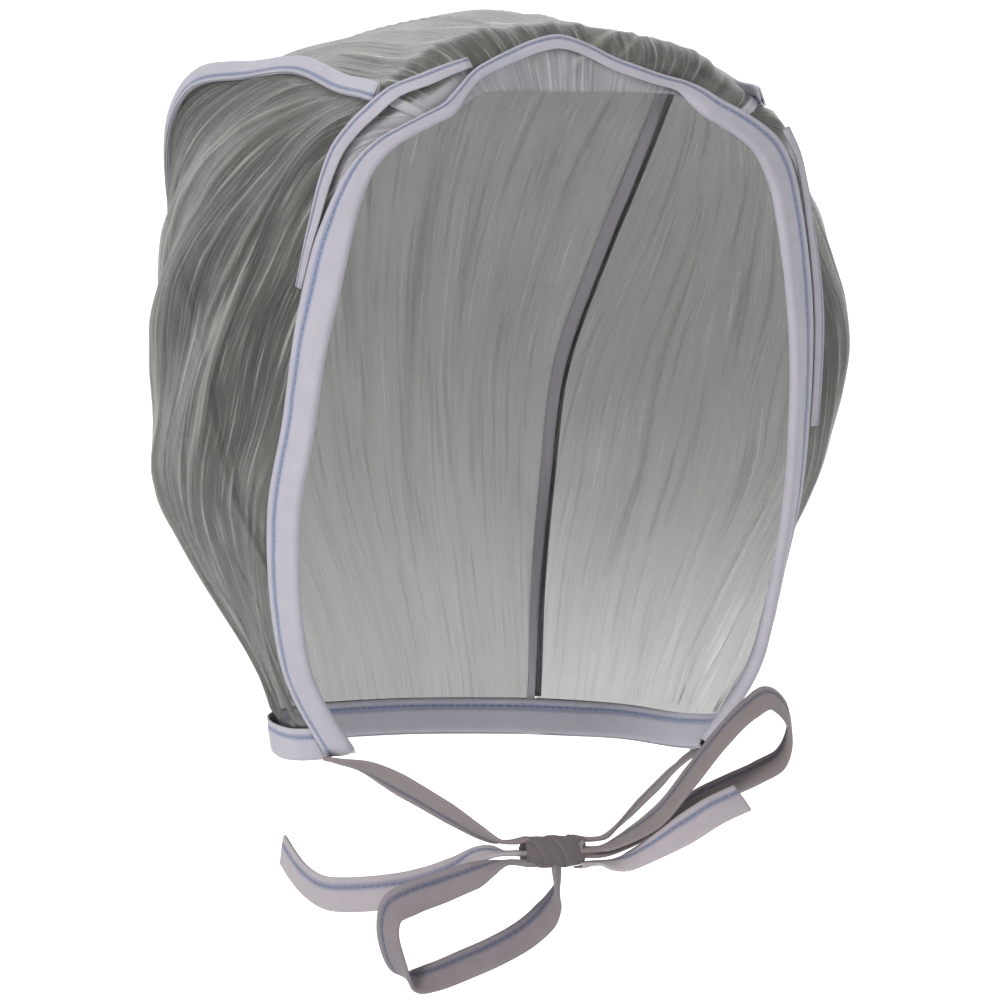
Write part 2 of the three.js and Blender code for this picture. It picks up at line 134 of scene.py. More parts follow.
def sheetOf(node, start, toward):
    # The outer face of a node's slab as an array of points, rows by columns, and -1 if the array's
    # own normals point into the slab
    work = slabOf(node)
    hub = Vector((0, 12, -98)) * mm     # the middle of the hollow

    def outwardness(patch):
        return sum(face.normal.dot(face.calc_center_median() - hub) * face.calc_area() for face in patch)

    patch = max(broadFaces(work), key=outwardness)
    rows = walkGrid(patch, Vector(start) * mm, Vector(toward) * mm)
    points = np.array([[vert.co[:] for vert in row] for row in rows])
    middle = rows[len(rows) // 2][len(rows[0]) // 2]
    facing = sum((face.normal for face in middle.link_faces if face in patch), Vector())
    sense = normalsOf(points)[len(rows) // 2, len(rows[0]) // 2] @ np.array(facing)
    work.free()
    return points, math.copysign(1, sense)


def ribbonOf(node, start):
    # The same for a narrow slab with one face across it, followed ring by ring from the end that
    # is nearest start, however sharply it folds
    work = slabOf(node)
    start = Vector(start) * mm
    linked = {vert: {edge.other_vert(vert) for edge in vert.link_edges} for vert in work.verts}
    endVerts = {vert for vert in work.verts if len(linked[vert]) < 6}
    first = min(endVerts, key=lambda vert: (vert.co - start).length)
    cap = {first}
    while len(cap) < 4:
        cap = cap | {other for vert in cap for other in linked[vert] & endVerts}
    # by distance from the first corner: across the thickness, across the width, corner to corner
    thin, wide, far = sorted(cap - {first}, key=lambda vert: (vert.co - first.co).length)
    rings, used = [[first, wide, far, thin]], set(cap)
    while True:
        following = set().union(*(linked[vert] for vert in rings[-1])) - used
        if len(following) != 4:
            break

        def travel(ring):
            return sum((vert.co - last.co).length for vert, last in zip(ring, rings[-1]))

        rings.append(list(min(itertools.permutations(following), key=travel)))
        used |= following
    spots = np.array([[vert.co[:] for vert in ring] for ring in rings])
    points = spots[:, :2]
    middle = len(rings) // 2
    outward = spots[middle, :2].sum(axis=0) - spots[middle, 2:].sum(axis=0)
    sense = normalsOf(points)[middle, 0] @ outward
    work.free()
    return points, math.copysign(1, sense)


def curveWeights(count, steps, low=0.0, high=1.0):
    # Weights that carry a smooth curve through count even points to steps + 1 places
    weights = np.zeros((steps + 1, count + 2))
    for step, share in enumerate(np.linspace(low, high, steps + 1)):
        place = share * (count - 1)
        i = min(max(int(math.floor(place)), 0), count - 2)
        t = place - i
        weights[step, i:i + 4] += (
            (-t + 2 * t ** 2 - t ** 3) / 2, (2 - 5 * t ** 2 + 3 * t ** 3) / 2,
            (t + 4 * t ** 2 - 3 * t ** 3) / 2, (-t ** 2 + t ** 3) / 2)
    # the two phantom points beyond the ends continue the end spans
    weights[:, 1] += 2 * weights[:, 0]
    weights[:, 2] -= weights[:, 0]
    weights[:, -2] += 2 * weights[:, -1]
    weights[:, -3] -= weights[:, -1]
    return weights[:, 1:-1]


def refine(points, rowSteps, columnSteps, rowSpan=(0, 1), columnSpan=(0, 1)):
    along = curveWeights(points.shape[0], rowSteps, *rowSpan)
    across = curveWeights(points.shape[1], columnSteps, *columnSpan)
    return np.einsum("ri,ijk,cj->rck", along, points, across)


def normalsOf(points):
    down = np.gradient(points, axis=0)
    across = np.gradient(points, axis=1)
    normals = np.cross(across, down)
    return normals / np.maximum(np.linalg.norm(normals, axis=2, keepdims=True), 1e-12)


def sheetPiece(name, points, sense, uv, material, values=None):
    # A grid bent to an array of points; uv is each point's place on the cloth, and values are its
    # named attributes
    rows, columns = points.shape[0] - 1, points.shape[1] - 1
    work = bmesh.new()
    uvLayer = work.loops.layers.uv.new("UVMap")
    values = values or {}
    layers = {key: work.verts.layers.float.new(key) for key in values}
    bmesh.ops.create_grid(work, x_segments=columns, y_segments=rows, size=1)
    spots = {}
    for vert in work.verts:
        column = round((vert.co.x + 1) / 2 * columns)
        row = round((vert.co.y + 1) / 2 * rows)
        spots[vert] = (row, column)
        vert.co = points[row, column]
        for key, layer in layers.items():
            vert[layer] = values[key][row, column]
    for face in work.faces:
        face.smooth = True
        for loop in face.loops:
            loop[uvLayer].uv = uv[spots[loop.vert]]
    if sense < 0:
        bmesh.ops.reverse_faces(work, faces=work.faces)
    mesh = bpy.data.meshes.new(name)
    work.to_mesh(mesh)
    work.free()
    piece = bpy.data.objects.new(name, mesh)
    bpy.context.scene.collection.objects.link(piece)
    mesh.materials.append(material)
    return piece


def giveWall(piece, thickness):
    wall = piece.modifiers.new("wall", "SOLIDIFY")
    wall.thickness = thickness
    wall.offset = -1


def settle(piece, node):
    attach(piece, "root")
    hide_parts(node)


# Materials

class Wire:
    # One socket of a material, with its maths
    def __init__(self, tree, socket):
        self.tree = tree
        self.socket = socket

    def feed(self, socket, value):
        if isinstance(value, Wire):
            self.tree.links.new(value.socket, socket)
        else:
            socket.default_value = value

    def node(self, kind, settings, inputs, output=0):
        made = self.tree.nodes.new(kind)
        for key, value in settings.items():
            setattr(made, key, value)
        for key, value in inputs.items():
            self.feed(made.inputs[key], value)
        return Wire(self.tree, made.outputs[output])

    def maths(self, operation, first, second=0.0):
        return self.node("ShaderNodeMath", {"operation": operation}, {0: first, 1: second})

    def __add__(self, other):
        return self.maths("ADD", self, other)

    def __radd__(self, other):
        return self.maths("ADD", other, self)

    def __sub__(self, other):
        return self.maths("SUBTRACT", self, other)

    def __rsub__(self, other):
        return self.maths("SUBTRACT", other, self)

    def __mul__(self, other):
        return self.maths("MULTIPLY", self, other)

    def __rmul__(self, other):
        return self.maths("MULTIPLY", other, self)

    def __truediv__(self, other):
        return self.maths("DIVIDE", self, other)


def newMaterial(name):
    material = bpy.data.materials.new(name)
    material.use_nodes = True
    tree = material.node_tree
    place = tree.nodes.new("ShaderNodeTexCoord")
    wires = {key: Wire(tree, place.outputs[key]) for key in ("Object", "UV")}
    return material, tree.nodes["Principled BSDF"], wires


def fromByte(red, green, blue):
    # A screen colour as linear light
    def linear(value):
        share = value / 255
        return share / 12.92 if share <= 0.04045 else ((share + 0.055) / 1.055) ** 2.4
    return (linear(red), linear(green), linear(blue), 1)


def band(value, low, high):
    # smoothly from 0 at low to 1 at high
    return value.node("ShaderNodeMapRange", {"interpolation_type": "SMOOTHSTEP"},
                      {"Value": value, "From Min": low, "From Max": high})


def blend(place, factor, first, second, kind="MIX"):
    return place.node("ShaderNodeMix", {"data_type": "RGBA", "blend_type": kind},
                      {0: factor, 6: first, 7: second}, 2)


filmLook = {
    "shade": fromByte(58, 58, 53),
    "dark": fromByte(30, 27, 25),
    # light: a painted highlight, laid along the light streaks, the hairlines and the crease crests
    "light": fromByte(170, 171, 162),
    # the film where it lies doubled beside the tapes, painted lighter, and by the temples partly a
    # painted highlight
    "doubledAndSheen": fromByte(190, 187, 194),    # where it lies doubled beside the tapes
    "alpha": 0.6,                       # of each of its two faces
    "roughness": 0.22,
    "streaks": (70, 2.0),               # across and along the folds
    "streakHighlight": (0.56, 0.78),        # the noise from which a streak is light, and fully so
    "streakDark": (0.48, 0.26),
    "hairlines": (210, 4),
    "hairlineHighlight": (0.56, 0.74),
    "patches": (0.42, 0.6),
    "streakDepth": 0.7 * mm,
    "hairlineDepth": 0.2 * mm,
}


def filmMaterial():
    look = filmLook
    material, shader, wires = newMaterial("smoky film")
    place, cloth = wires["Object"], wires["UV"]

    def stretchedNoise(scale, detail):
        spread = cloth.node("ShaderNodeMapping", {}, {"Vector": cloth, "Scale": (*scale, 1)})
        return spread.node("ShaderNodeTexNoise", {"noise_dimensions": "2D"},
                           {"Vector": spread, "Scale": 1.0, "Detail": detail, "Roughness": 0.5})

    # the cloth's own coordinates: u crosses the folds, v runs along them
    streak = stretchedNoise(look["streaks"], 3.0)
    hairline = stretchedNoise(look["hairlines"], 2.0)
    cloud = place.node("ShaderNodeTexNoise", {}, {"Vector": place, "Scale": 24.0, "Detail": 3.0})
    doubledAndSheen, clear, crest = [place.node("ShaderNodeAttribute", {"attribute_name": key}, {}, 2)
                          for key in ("doubledAndSheen", "clear", "crest")]
    # the light streaks and the hairlines are painted highlights along the folds; the dark streaks are
    # darker where the streak noise is low
    highlightMask = band(streak, *look["streakHighlight"])
    darkMask = band(streak, *look["streakDark"])
    hairlineHighlightMask = band(hairline, *look["hairlineHighlight"])
    patch = doubledAndSheen * band(cloud + streak * 0.3, *look["patches"])
    base = blend(place, darkMask * 0.75, look["shade"], look["dark"])
    base = blend(place, highlightMask * 0.75 + hairlineHighlightMask * 0.34, base, look["light"])
    # the crease crests painted in the light colour: a painted highlight
    base = blend(place, crest * 0.6, base, look["light"])
    # doubled film and painted highlight, in one pale colour
    base = blend(place, patch * 0.3 + doubledAndSheen * 0.6, base, look["doubledAndSheen"])
    bend = place.node("ShaderNodeBump", {}, {"Strength": 0.7, "Distance": look["streakDepth"],
                                             "Height": streak})
    bend = place.node("ShaderNodeBump", {}, {"Strength": 0.3, "Distance": look["hairlineDepth"],
                                             "Height": hairline, "Normal": bend})
    place.feed(shader.inputs["Base Color"], base)
    place.feed(shader.inputs["Roughness"], look["roughness"] + cloud * 0.1 + doubledAndSheen * 0.1)
    place.feed(shader.inputs["Alpha"],
               look["alpha"] + highlightMask * 0.04 + darkMask * 0.04 + crest * 0.1
               + (patch * 0.15 + doubledAndSheen * 0.25) - clear * 0.26)
    place.feed(shader.inputs["Normal"], bend)
    return material


tapeLook = {
    "cloth": fromByte(186, 183, 193),
    "shade": fromByte(160, 157, 167),
    "stitch": fromByte(104, 122, 160),
    "stitchAt": 0.70,       # of the tape's width, from the hem
    "stitchWide": 0.16,
    "stitchLong": 2.4,      # mm
    "threads": (2.2, 9),    # to the mm along it, and across the whole width
    "weaveDepth": 0.1 * mm,
    "stitchDepth": 0.3 * mm,
    "softDepth": 0.4 * mm,
}


def tapeMaterial(name, shadeTint):
    look = tapeLook
    material, shader, wires = newMaterial(name)
    place, cloth = wires["Object"], wires["UV"]
    # u is the share of the tape's width from the hem, v the millimetres along it
    across = cloth.node("ShaderNodeSeparateXYZ", {}, {0: cloth})
    along = Wire(across.tree, across.socket.node.outputs[1])
    offLine = place.maths("ABSOLUTE", across - look["stitchAt"])
    line = band(offLine, look["stitchWide"], look["stitchWide"] * 0.3)
    beat = place.maths("FRACT", along / look["stitchLong"])
    thread = band(offLine, 0.05, 0.02) * band(place.maths("ABSOLUTE", beat - 0.5), 0.44, 0.34)
    perMm, perWidth = look["threads"]
    warp = place.maths("SINE", along * (perMm * 2 * math.pi))
    weft = place.maths("SINE", across * (perMm * perWidth * 2 * math.pi))
    weave = warp * weft
    patchy = place.node("ShaderNodeTexNoise", {}, {"Vector": place, "Scale": 220.0, "Detail": 4.0})
    soft = place.node("ShaderNodeTexNoise", {}, {"Vector": place, "Scale": 60.0, "Detail": 2.0})
    base = blend(place, patchy * 0.5 + soft * 0.4, look["cloth"], look["shade"])
    base = blend(place, line * 0.55 + thread * 0.3, base, look["stitch"])
    # the tint multiplies the colour: painted shade on the ties, the loops and the knot, lighter painted
    # light on the tails, none on the binding
    base = blend(place, 1.0, base, shadeTint, "MULTIPLY")
    bend = place.node("ShaderNodeBump", {}, {"Strength": 0.35, "Distance": look["weaveDepth"],
                                             "Height": weave})
    bend = place.node("ShaderNodeBump", {}, {"Strength": 0.8, "Distance": look["stitchDepth"],
                                             "Height": thread * 1.4 - line, "Normal": bend})
    bend = place.node("ShaderNodeBump", {}, {"Strength": 0.5, "Distance": look["softDepth"],
                                             "Height": soft, "Normal": bend})
    place.feed(shader.inputs["Base Color"], base)
    place.feed(shader.inputs["Roughness"], 0.72 + patchy * 0.15)
    place.feed(shader.inputs["Normal"], bend)
    shader.inputs["Sheen Weight"].default_value = 0.15
    return material


film = filmMaterial()
tape = tapeMaterial("binding tape", (1, 1, 1, 1))
# copies of the binding tape darkened by painted shade from under the chin, the tails least and the knot
# most
shadedTieTape = tapeMaterial("tie tape, painted shade", (0.54, 0.47, 0.42, 1))
shadedLoopTape = tapeMaterial("loop tape, painted shade", (0.5, 0.45, 0.43, 1))
litEndTape = tapeMaterial("end tape, painted light", (0.92, 0.86, 0.82, 1))
shadedKnotTape = tapeMaterial("knot tape, painted shade", (0.3, 0.26, 0.24, 1))
print("materials made")


# Film panels

def noiseField(a, b, seed):
    flat = zip(a.ravel(), b.ravel())
    return np.array([noise.noise(Vector((x, y, seed))) for x, y in flat]).reshape(a.shape)


def ridges(a, b, seed, sharpness=2.0):
    # Narrow crests, like creases in film: 1 on a crest, near 0 between
    return np.clip(1 - 2 * np.abs(noiseField(a, b, seed)), 0, 1) ** sharpness


def rise(value, low, high):
    share = np.clip((value - low) / (high - low), 0, 1)
    return share * share * (3 - 2 * share)


def nearLine(down, across, deep, wide, start, end, width):
    # 1 on the line between two places given as (down, across), fading within width beside it
    place = np.stack([down * deep, across * wide], axis=-1)
    first = np.array([start[0] * deep, start[1] * wide])
    run = np.array([end[0] * deep, end[1] * wide]) - first
    share = np.clip((place - first) @ run / (run @ run), 0, 1)
    away = np.linalg.norm(place - first - share[..., None] * run, axis=-1)
    return np.exp(-(away / width) ** 2) * np.sin(np.pi * (0.12 + 0.76 * share))


filmPanels = {
    "inset": 0.6 * mm,       # from the solid's outer face to the film
    "overlap": 1.4 * mm,     # past the panel's edges, under the bindings
    "seamBand": 4.6 * mm,    # the inner leaf of the seam binding
    "wall": 0.25 * mm,
    "underTape": 8 * mm,     # lies flat this far in from a bound edge
    "clothScale": 10,        # streaks' coordinate to the metre, along the folds
}


def filmPanel(name, node, start, toward, steps, shape):
    rowSteps, columnSteps = steps
    points, sense = sheetOf(node, start, toward)
    deep = np.linalg.norm(np.diff(points[:, points.shape[1] // 2], axis=0), axis=1).sum()
    wide = np.linalg.norm(np.diff(points[points.shape[0] // 2], axis=0), axis=1).sum()
    rowOver, columnOver = filmPanels["overlap"] / deep, filmPanels["overlap"] / wide
    fine = refine(points, rowSteps, columnSteps, (-rowOver, 1 + rowOver), (-columnOver, 1 + columnOver))
    down, across = np.meshgrid(np.linspace(0, 1, rowSteps + 1), np.linspace(0, 1, columnSteps + 1),
                               indexing="ij")
    normals = normalsOf(fine) * sense
    height, stream, values = shape(down, across, deep, wide)
    fine = fine + normals * (height - filmPanels["inset"])[..., None]
    uv = np.stack([stream, down * deep * filmPanels["clothScale"]], axis=-1)
    piece = sheetPiece(name, fine, sense, uv, film, values)
    giveWall(piece, filmPanels["wall"])
    settle(piece, node)
    print(name, "deep", round(deep, 4), "wide", round(wide, 4))


def edgeHold(share, length, reach):
    # 0 on a panel's edges, 1 beyond reach from them
    return rise(np.minimum(share, 1 - share) * length, 0, reach)


def clearOf(share, length, near, far):
    # 0 within near of where share is 0, and 1 beyond far
    return rise(share * length, near, far)


def creaseCrests(down, across, deep, wide, creases):
    crest = np.zeros_like(down)
    for start, end, width, lift in creases:
        crest = np.maximum(crest, nearLine(down, across, deep, wide, start, end, width * mm) * lift)
    return crest


sideFolds = {
    "turn": 0.38,        # how far the folds run back from the temple before they drop
    "turnDepth": 0.36,
    "folds": (8, 1.3 * mm),
    "creases": (15, 1.0 * mm),
    "gathers": (24, 1.2 * mm),
    "gatherReach": 0.2,
    "seamHold": (1 * mm, 7 * mm),           # flat along a seam to here, and free from here
    "paleStrip": (9.5 * mm, 11.5 * mm),     # from the face edge to where it ends
    "paleDown": (0.12, 0.26),
    "clearDown": (0.4, 0.95),
}
rightCreases = [
    # from and to as (down, across), width and height in mm
    ((0.03, 0.33), (0.2, 0.52), 1.1, 1.2),
    ((0.06, 0.22), (0.16, 0.28), 0.9, 0.9),
    ((0.1, 0.42), (0.42, 0.66), 1.4, 1.0),
    ((0.16, 0.2), (0.42, 0.36), 1.0, 0.8),
    ((0.3, 0.24), (0.75, 0.4), 1.3, 0.9),
    ((0.45, 0.5), (0.92, 0.5), 1.6, 1.0),
    ((0.2, 0.72), (0.7, 0.84), 1.6, 1.0),
]
leftCreases = [
    ((0.05, 0.3), (0.22, 0.44), 1.1, 1.0),
    ((0.12, 0.14), (0.5, 0.3), 1.2, 0.9),
    ((0.3, 0.4), (0.85, 0.5), 1.6, 1.1),
    ((0.25, 0.7), (0.75, 0.82), 1.6, 1.0),
]


def sideShape(seed, creases, doubledAndSheenShare):
    def shape(down, across, deep, wide):
        look = sideFolds
        stream = across - look["turn"] * (1 - np.exp(-down / look["turnDepth"]))
        count, height = look["folds"]
        soft = noiseField(stream * count, down * 1.3, seed) * height * 2
        count, height = look["creases"]
        sharp = ridges(stream * count, down * 1.5, seed + 5, 2.5)
        sharp = sharp * (0.25 + 0.75 * rise(noiseField(stream * 5, down * 3, seed + 9), -0.2, 0.4))
        crest = creaseCrests(down, across, deep, wide, creases)
        count, gatherHeight = look["gathers"]
        gather = ridges(across * count, down * 1.5, seed + 13, 1.5) * gatherHeight * rise(
            down, 1 - look["gatherReach"], 0.98)
        bound = filmPanels["underTape"]
        seam = look["seamHold"]
        hold = clearOf(across, wide, bound, bound + 8 * mm) * clearOf(1 - across, wide, *seam)
        hold = hold * clearOf(down, deep, *seam) * clearOf(1 - down, deep, bound, bound + 5 * mm)
        lift = (soft + sharp * height + crest * mm + gather) * hold
        # the strip by the face edge is painted pale: doubled film with a painted highlight, strongest on
        # the lit right side
        strip = 1 - rise(across * wide, *look["paleStrip"])
        values = {
            "doubledAndSheen": doubledAndSheenShare * strip * (1 - rise(down, *look["paleDown"])),
            "clear": rise(down, *look["clearDown"]) * 0.8,
            # crest: the crease crests, which the film's colour paints as a highlight
            "crest": np.clip(crest + sharp * 0.4, 0, 1) * hold,
        }
        return lift, stream, values
    return shape


crownFolds = {
    "folds": (6, 0.55 * mm),
    "creases": (11, 0.7 * mm),
    "gathers": (20, 1.0 * mm),
    "gatherReach": 0.12,
    "clearDown": (0.6, 0.95),
}
browLens = {
    # share across, and how far the doubled film reaches from the brow's edge there in mm
    "across": (0, 0.06, 0.145, 0.2, 0.25, 0.31, 0.37, 0.435, 0.5, 0.575, 0.64, 0.72, 0.79, 0.86, 1),
    "reach": (11, 9, 8, 6.5, 7, 9, 11.5, 13, 11, 8, 6, 4, 2, 0, 0),
    "soft": 0.8 * mm,
}
crownCreases = [
    ((0.015, 0.46), (0.06, 0.62), 1.2, 1.0),
    ((0.02, 0.58), (0.07, 0.7), 0.9, 0.7),
    ((0.03, 0.3), (0.16, 0.24), 1.3, 0.9),
    ((0.06, 0.52), (0.24, 0.56), 1.4, 0.8),
    ((0.05, 0.12), (0.2, 0.1), 1.2, 0.8),
    ((0.08, 0.8), (0.3, 0.76), 1.4, 0.9),
    ((0.4, 0.4), (0.7, 0.46), 2.0, 0.9),
    ((0.5, 0.62), (0.85, 0.6), 2.0, 0.9),
]


def crownShape(down, across, deep, wide):
    look = crownFolds
    stream = across + 0.10 * np.sin(down * 3)
    count, height = look["folds"]
    soft = noiseField(stream * count, down * 2.0, 31) * height * 2
    count, height = look["creases"]
    sharp = ridges(stream * count, down * 2.6, 37, 2.5)
    crest = creaseCrests(down, across, deep, wide, crownCreases)
    count, gatherHeight = look["gathers"]
    gather = ridges(across * count, down * 2, 41, 1.5) * gatherHeight * rise(
        down, 1 - look["gatherReach"], 0.99)
    bound = filmPanels["underTape"]
    hold = edgeHold(across, wide, 6 * mm) * clearOf(down, deep, 1.5 * mm, 8 * mm)
    hold = hold * clearOf(1 - down, deep, bound, bound + 6 * mm)
    reach = np.interp(across, browLens["across"], browLens["reach"]) * mm
    lens = 1 - rise(down * deep, reach - browLens["soft"], reach + browLens["soft"])
    band = filmPanels["seamBand"]
    seamLeaf = 1 - rise(np.minimum(across, 1 - across) * wide, band - 0.4 * mm, band)
    values = {
        "doubledAndSheen": np.maximum(lens * 0.75, seamLeaf),
        "clear": rise(down, *look["clearDown"]) * 0.5,
        # crest: the crease crests, which the film's colour paints as a highlight
        "crest": np.clip(crest + sharp * 0.35, 0, 1) * hold,
    }
    return (soft + sharp * height + crest * mm + gather) * hold, stream, values


filmPanel("crown_film", "crown_panel", (-42, -63, -32), (42, -63, -32), (288, 160), crownShape)
# the lit right side gets the strongest painted highlight by the face edge
filmPanel("side_film_right", "side_panel_right", (-42, -63, -33), (-70, 54, -19), (230, 200),
          sideShape(3, rightCreases, 0.9))
filmPanel("side_film_left", "side_panel_left", (42, -63, -33), (70, 54, -19), (230, 200),
          sideShape(21, leftCreases, 0.3))
print("film panels made")


# Bindings and ties: tape folded over once

tapeFold = {
    "rowFactor": 3,
    "layer": 0.42 * mm,
    "outerSteps": 10,
    "bendSteps": 5,
    "innerSteps": 8,
    "innerReach": 0.96,     # of the outer layer's width
    "crown": 0.18 * mm,     # how far the middle stands proud of the edges
    "pucker": 0.3 * mm,
    "puckerLength": 5,      # mm
}


def tapePiece(name, node, sheet, depth, material, seed, rowSpan=(0, 1), columnSpan=(0, 1)):
    # depth, for each row's share of the length, is from the outer face to the inner layer
    look = tapeFold
    points, sense = sheet
    rowSteps = (points.shape[0] - 1) * look["rowFactor"]
    outer = refine(points, rowSteps, look["outerSteps"], rowSpan, columnSpan)
    normals = normalsOf(outer) * sense
    shares = np.linspace(0, 1, rowSteps + 1)
    lengths = np.linalg.norm(np.diff(outer[:, 0], axis=0), axis=1)
    travelled = np.concatenate([[0], np.cumsum(lengths)]) / mm
    outward = outer[:, :1] - outer[:, 1:2]
    outward = outward / np.linalg.norm(outward, axis=2, keepdims=True)
    section, acrossShares = [], []
    for step in range(look["outerSteps"], -1, -1):
        share = step / look["outerSteps"]
        swell = look["crown"] * (1 - (2 * share - 1) ** 2) - look["crown"]
        ripple = noiseField(travelled / look["puckerLength"], np.full_like(travelled, share * 2), seed)
        ripple = ripple * look["pucker"] * math.sin(math.pi * share)
        section.append(outer[:, step] + normals[:, step] * (swell + ripple)[:, None])
        acrossShares.append(share)
    depths = np.array([depth(share) for share in shares])[:, None]
    for step in range(1, look["bendSteps"]):
        turn = math.pi * step / look["bendSteps"]
        middle = outer[:, 0] - normals[:, 0] * (depths / 2 + look["crown"] / 2)
        arm = normals[:, 0] * math.cos(turn) + outward[:, 0] * math.sin(turn)
        section.append(middle + arm * (depths / 2 - look["crown"] / 2))
        acrossShares.append(0)
    for step in range(look["innerSteps"] + 1):
        share = step / look["innerSteps"] * look["innerReach"]
        place = share * look["outerSteps"]
        column = int(min(math.floor(place), look["outerSteps"] - 1))
        part = place - column
        base = outer[:, column] * (1 - part) + outer[:, column + 1] * part
        lean = normals[:, column] * (1 - part) + normals[:, column + 1] * part
        section.append(base - lean * depths)
        acrossShares.append(share)
    uv = np.stack(np.broadcast_arrays(acrossShares, travelled[:, None]), axis=-1)
    piece = sheetPiece(name, np.stack(section, axis=1), -sense, uv, material)
    giveWall(piece, look["layer"])
    settle(piece, node)


def even(depth):
    # the same all along, in mm
    return lambda share: depth * mm


def gathered(atStart, atEnd):
    # a free tape's depth, which grows where an end runs bunched into the knot
    flat, bunched, reach = 1.1 * mm, 1.8 * mm, 0.09

    def depth(share):
        near = max(atStart * (1 - share / reach), atEnd * (1 - (1 - share) / reach), 0)
        return flat + (bunched - flat) * near * near * (3 - 2 * near)
    return depth


faceFold = {
    "cheek": 3.3 * mm,              # round the film's edge
    "brow": 1.1 * mm,               # folded up on itself
    "browFrom": (0.385, 0.415),     # shares of the tape's length
    "browTo": (0.585, 0.61),
}


def faceDepth(share):
    look = faceFold
    brow = rise(share, *look["browFrom"]) * (1 - rise(share, *look["browTo"]))
    return look["cheek"] + (look["brow"] - look["cheek"]) * brow


def laidTape(name, node, start, toward, depth, seed):
    tapePiece(name, node, sheetOf(node, start, toward), depth, tape, seed)


laidTape("face_tape", "face_binding", (-50, -24, -197), (-52, -16, -198), faceDepth, 3)
laidTape("nape_tape", "nape_binding", (-50, -20, -197), (-52, -20, -188), even(3.3), 7)
laidTape("brow_tape_right", "brow_strand_right", (-66, -40, -86), (-68, -36, -86), even(1.1), 11)
laidTape("brow_tape_left", "brow_strand_left", (66, -40, -112), (70, -36, -112), even(1.1), 13)


def freeTape(name, node, start, depth, material, seed, **spans):
    tapePiece(name, node, ribbonOf(node, start), depth, material, seed, **spans)


# the seam bindings reach down between the panels, and the ties and the bow run into the knot
rooted = {"columnSpan": (0, 1.3)}
freeTape("seam_tape_right", "seam_binding_right", (-40, -62, -24), even(1.1), tape, 17, **rooted)
freeTape("seam_tape_left", "seam_binding_left", (40, -62, -24), even(1.1), tape, 19, **rooted)
tieSpan = {"rowSpan": (-0.05, 1.05)}
freeTape("tie_strap_right", "tie_right", (-51, -22, -200), gathered(0, 1), shadedTieTape, 23, **tieSpan)
freeTape("tie_strap_left", "tie_left", (51, -22, -200), gathered(0, 1), shadedTieTape, 29, **tieSpan)
loopSpan = {"rowSpan": (-0.02, 1.02)}
freeTape("loop_strap_left", "bow_loop_left", (8, -48, -220), gathered(1, 1), shadedTieTape, 31, **loopSpan)
freeTape("loop_strap_right", "bow_loop_right", (1, -46, -229), gathered(1, 1), shadedLoopTape, 41, **loopSpan)
freeTape("tail_strap_left", "tie_tail_left", (8, -46, -225), gathered(1, 0), litEndTape, 37,
         rowSpan=(-0.04, 1))
freeTape("tail_strap_right", "tie_tail_right", (-9, -43, -221), gathered(1, 0), litEndTape, 43,
         rowSpan=(-0.035, 1))
print("tapes made")


# The knot

knotLook = {
    "around": 96,
    "along": 72,
    "wraps": 2.6,      # turns of tape seen along the knot
    "slant": 0.8,      # how far a turn leans along the knot, in wraps
    "layer": 0.13,     # a layer's step, as a share of the radius
    "end": 0.78,       # radius of the ends, as a share
    "wrinkle": 0.05,
    "girth": 28,       # mm of tape round it
}


def knotPiece():
    look = knotLook
    low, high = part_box("bow_knot")
    centre, half = (low + high) / 2, (high - low) / 2
    along = np.linspace(-1, 1, look["along"] + 1)[:, None]
    angle = np.linspace(-math.pi, math.pi, look["around"] + 1)[None, :]
    turn = (along * look["wraps"] / 2 + look["slant"] * np.sin(angle + 0.6) * 0.5 + 10) % 1
    layer = rise(turn, 0, 0.14) * (1 - 0.75 * turn) * look["layer"]
    barrel = look["end"] + (1 - look["end"] - look["layer"]) * (1 - np.abs(along) ** 2.6)
    wrinkle = noiseField(np.cos(angle) * 2.2 + along * 5, np.sin(angle) * 2.2 + along * 2, 61)
    radius = barrel + layer + wrinkle * look["wrinkle"]
    points = np.stack([along + 0 * angle, radius * np.cos(angle), radius * np.sin(angle)], axis=-1)
    # the ends close inward
    closed = points[[0, -1]] * np.array([0.93, 0.12, 0.12])
    points = np.concatenate([closed[:1], points, closed[1:]])
    points = points * np.array(half[:]) + np.array(centre[:])
    turn = np.concatenate([turn[:1], turn, turn[-1:]])
    girth = np.linspace(0, look["girth"], look["around"] + 1)
    uv = np.stack(np.broadcast_arrays(0.15 + 0.35 * turn, girth), axis=-1)
    piece = sheetPiece("bow_knot_tape", points, 1, uv, shadedKnotTape)
    work = bmesh.new()
    work.from_mesh(piece.data)
    bmesh.ops.remove_doubles(work, verts=work.verts, dist=1e-6)
    bmesh.ops.holes_fill(work, edges=work.edges, sides=0)
    bmesh.ops.recalc_face_normals(work, faces=work.faces)
    work.to_mesh(piece.data)
    work.free()
    settle(piece, "bow_knot")


knotPiece()
print("knot made")


# Stage

cameraLook = {
    "aim": Vector((0, 0, -0.132)),
    "azimuth": -19,
    "elevation": 2,
    "distance": 1.5,
    "lens": 200,
}
stageLook = {
    "floorSize": (24.0, 24.0),
    "floorDrop": 0.45,
    "colour": (0.92, 0.92, 0.92, 1),
    "worldStrength": 0.62,
    "backdropFar": 3.0,
    "backdropSize": (14.0, 6.0),
    "backdropGlow": 0.6,
    "lightAim": Vector((0, 0, -0.12)),
}
studioLights = [
    # place, size and power
    ("key light", (-1.5, -0.9, 0.75), 0.6, 20),
    ("fill light", (1.0, -1.6, 0.1), 1.2, 3),
    ("back light", (0.2, 1.4, 1.0), 0.9, 1.5),
]


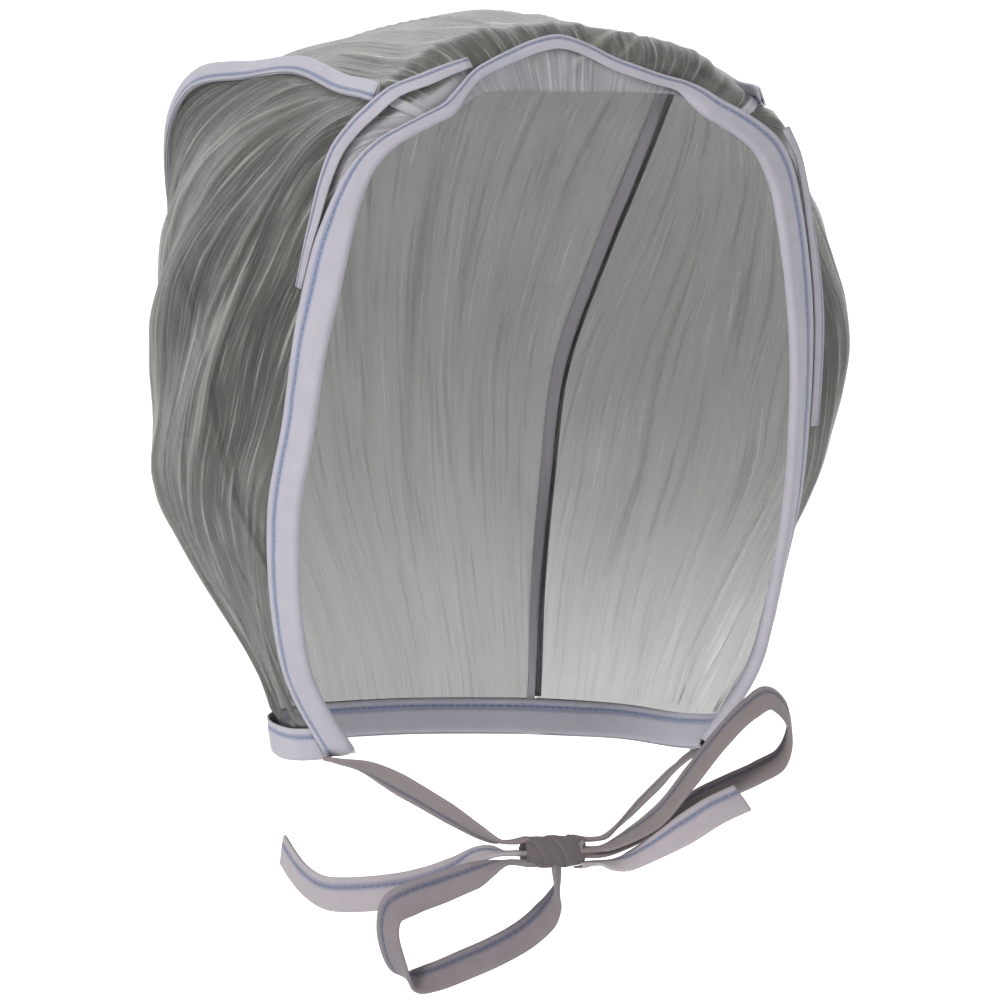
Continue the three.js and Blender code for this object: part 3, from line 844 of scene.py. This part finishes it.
def stageSheet(name, size, turned, place, glow):
    work = bmesh.new()
    bmesh.ops.create_grid(work, x_segments=1, y_segments=1, size=0.5)
    bmesh.ops.scale(work, verts=work.verts, vec=(*size, 1))
    bmesh.ops.rotate(work, verts=work.verts, matrix=turned)
    bmesh.ops.translate(work, verts=work.verts, vec=place)
    mesh = bpy.data.meshes.new(name)
    work.to_mesh(mesh)
    work.free()
    sheet = bpy.data.objects.new(name, mesh)
    bpy.context.scene.collection.objects.link(sheet)
    material, shader, _ = newMaterial(name + " paint")
    shader.inputs["Base Color"].default_value = stageLook["colour"]
    shader.inputs["Roughness"].default_value = 0.9
    shader.inputs["Emission Color"].default_value = (1, 1, 1, 1)
    shader.inputs["Emission Strength"].default_value = glow
    mesh.materials.append(material)


def makeStage():
    look = stageLook
    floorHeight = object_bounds()[0].z - look["floorDrop"]
    stageSheet("floor", look["floorSize"], Matrix.Identity(3), (0, 0, floorHeight), 0.0)
    turn = math.radians(cameraLook["azimuth"])
    upright = Matrix.Rotation(turn, 3, "Z") @ Matrix.Rotation(math.pi / 2, 3, "X")
    behind = Vector((-math.sin(turn), math.cos(turn), 0)) * look["backdropFar"]
    behind.z = floorHeight + look["backdropSize"][1] / 2
    stageSheet("backdrop", look["backdropSize"], upright, behind, look["backdropGlow"])
    world = bpy.data.worlds.new("studio")
    bpy.context.scene.world = world
    bpy.context.scene.view_settings.view_transform = "Standard"
    world.use_nodes = True
    background = world.node_tree.nodes["Background"]
    background.inputs["Color"].default_value = (1, 1, 1, 1)
    background.inputs["Strength"].default_value = look["worldStrength"]


def makeLight(name, place, size, power):
    light = bpy.data.lights.new(name, "AREA")
    light.shape = "DISK"
    light.size = size
    light.energy = power
    lamp = bpy.data.objects.new(name, light)
    bpy.context.scene.collection.objects.link(lamp)
    lamp.location = place
    lamp.rotation_euler = (stageLook["lightAim"] - Vector(place)).to_track_quat("-Z", "Y").to_euler()


def makeCamera():
    look = cameraLook
    turn, tilt = math.radians(look["azimuth"]), math.radians(look["elevation"])
    back = Vector((math.sin(turn) * math.cos(tilt), -math.cos(turn) * math.cos(tilt), math.sin(tilt)))
    data = bpy.data.cameras.new("camera")
    data.lens = look["lens"]
    data.sensor_width = 36
    camera = bpy.data.objects.new("camera", data)
    bpy.context.scene.collection.objects.link(camera)
    camera.location = look["aim"] + back * look["distance"]
    camera.rotation_euler = (-back).to_track_quat("-Z", "Y").to_euler()
    bpy.context.scene.camera = camera


makeStage()
for name, place, size, power in studioLights:
    makeLight(name, place, size, power)
makeCamera()
print("stage made")
